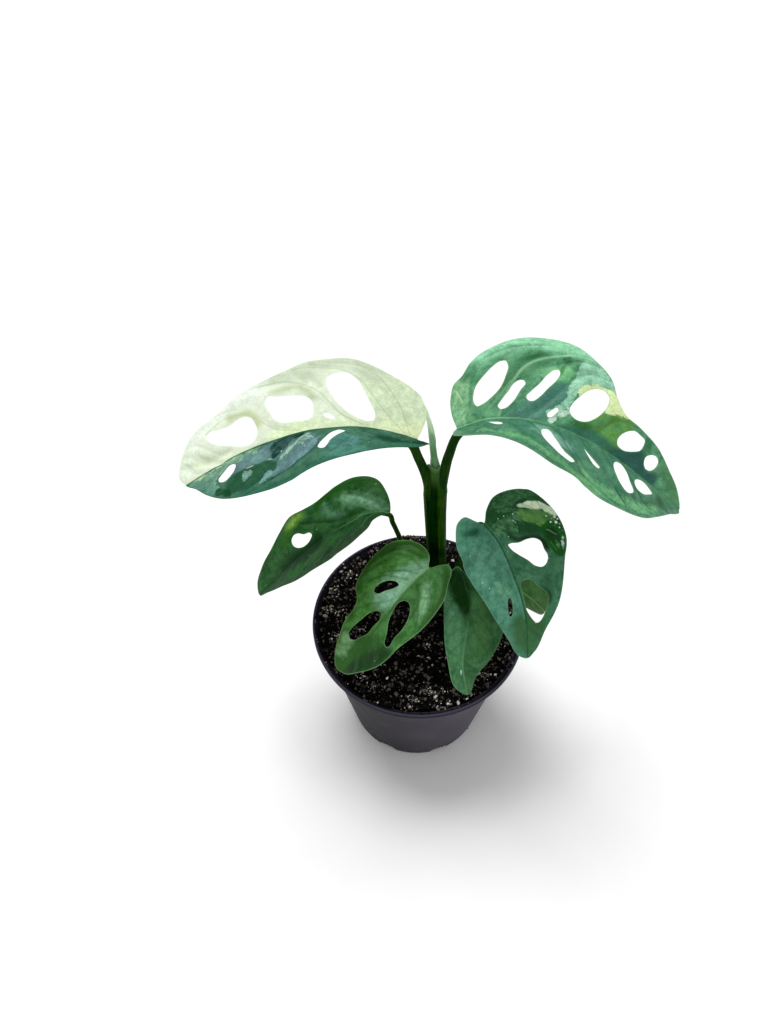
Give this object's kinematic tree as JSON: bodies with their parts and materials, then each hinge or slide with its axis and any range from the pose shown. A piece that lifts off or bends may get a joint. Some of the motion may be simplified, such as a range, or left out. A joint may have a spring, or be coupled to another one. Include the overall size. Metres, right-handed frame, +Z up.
{
  "type": "monstera adansonii",
  "caption": "Young potted swiss cheese plant: pierced leaves, partly variegated in cream, on slender petioles round an upright stem, in a round tapered nursery pot full of dark soil.",
  "frame": {"origin": "middle of the underside of the pot, on the surface that the pot stands on", "axes": "+Z up along the pot's axis; the front of the plant, as the picture shows it, faces -Y; the spread of the two upper leaves lies along X"},
  "size_m": [0.2052, 0.105, 0.2235],
  "materials": {
    "pot": "satin, dusty, dark charcoal",
    "soil": "rough, damp peat and bark with white grains of perlite",
    "stem": "smooth, dark green, slightly waxy",
    "petiole": "smooth, green, slightly waxy",
    "leaf_half_cream": "satin, one half cream and the other half green",
    "leaf_marbled": "satin, green with mint and cream patches",
    "leaf_green": "satin, deep green",
    "new_leaf": "smooth, pale green"
  },
  "bodies": {
    "root": {"pot": "pot", "soil": "soil", "stem": "stem", "petiole_side_left": "petiole", "petiole_front_left": "petiole", "petiole_front_middle": "petiole", "petiole_front_right": "petiole", "petiole_small_right": "petiole", "leaf_upper_left": "leaf_half_cream", "leaf_upper_right": "leaf_marbled", "leaf_side_left": "leaf_green", "leaf_front_left": "leaf_green", "leaf_front_middle": "leaf_green", "leaf_front_right": "leaf_marbled", "leaf_small_right": "leaf_green", "new_leaf": "new_leaf"}
  },
  "joints": []
}
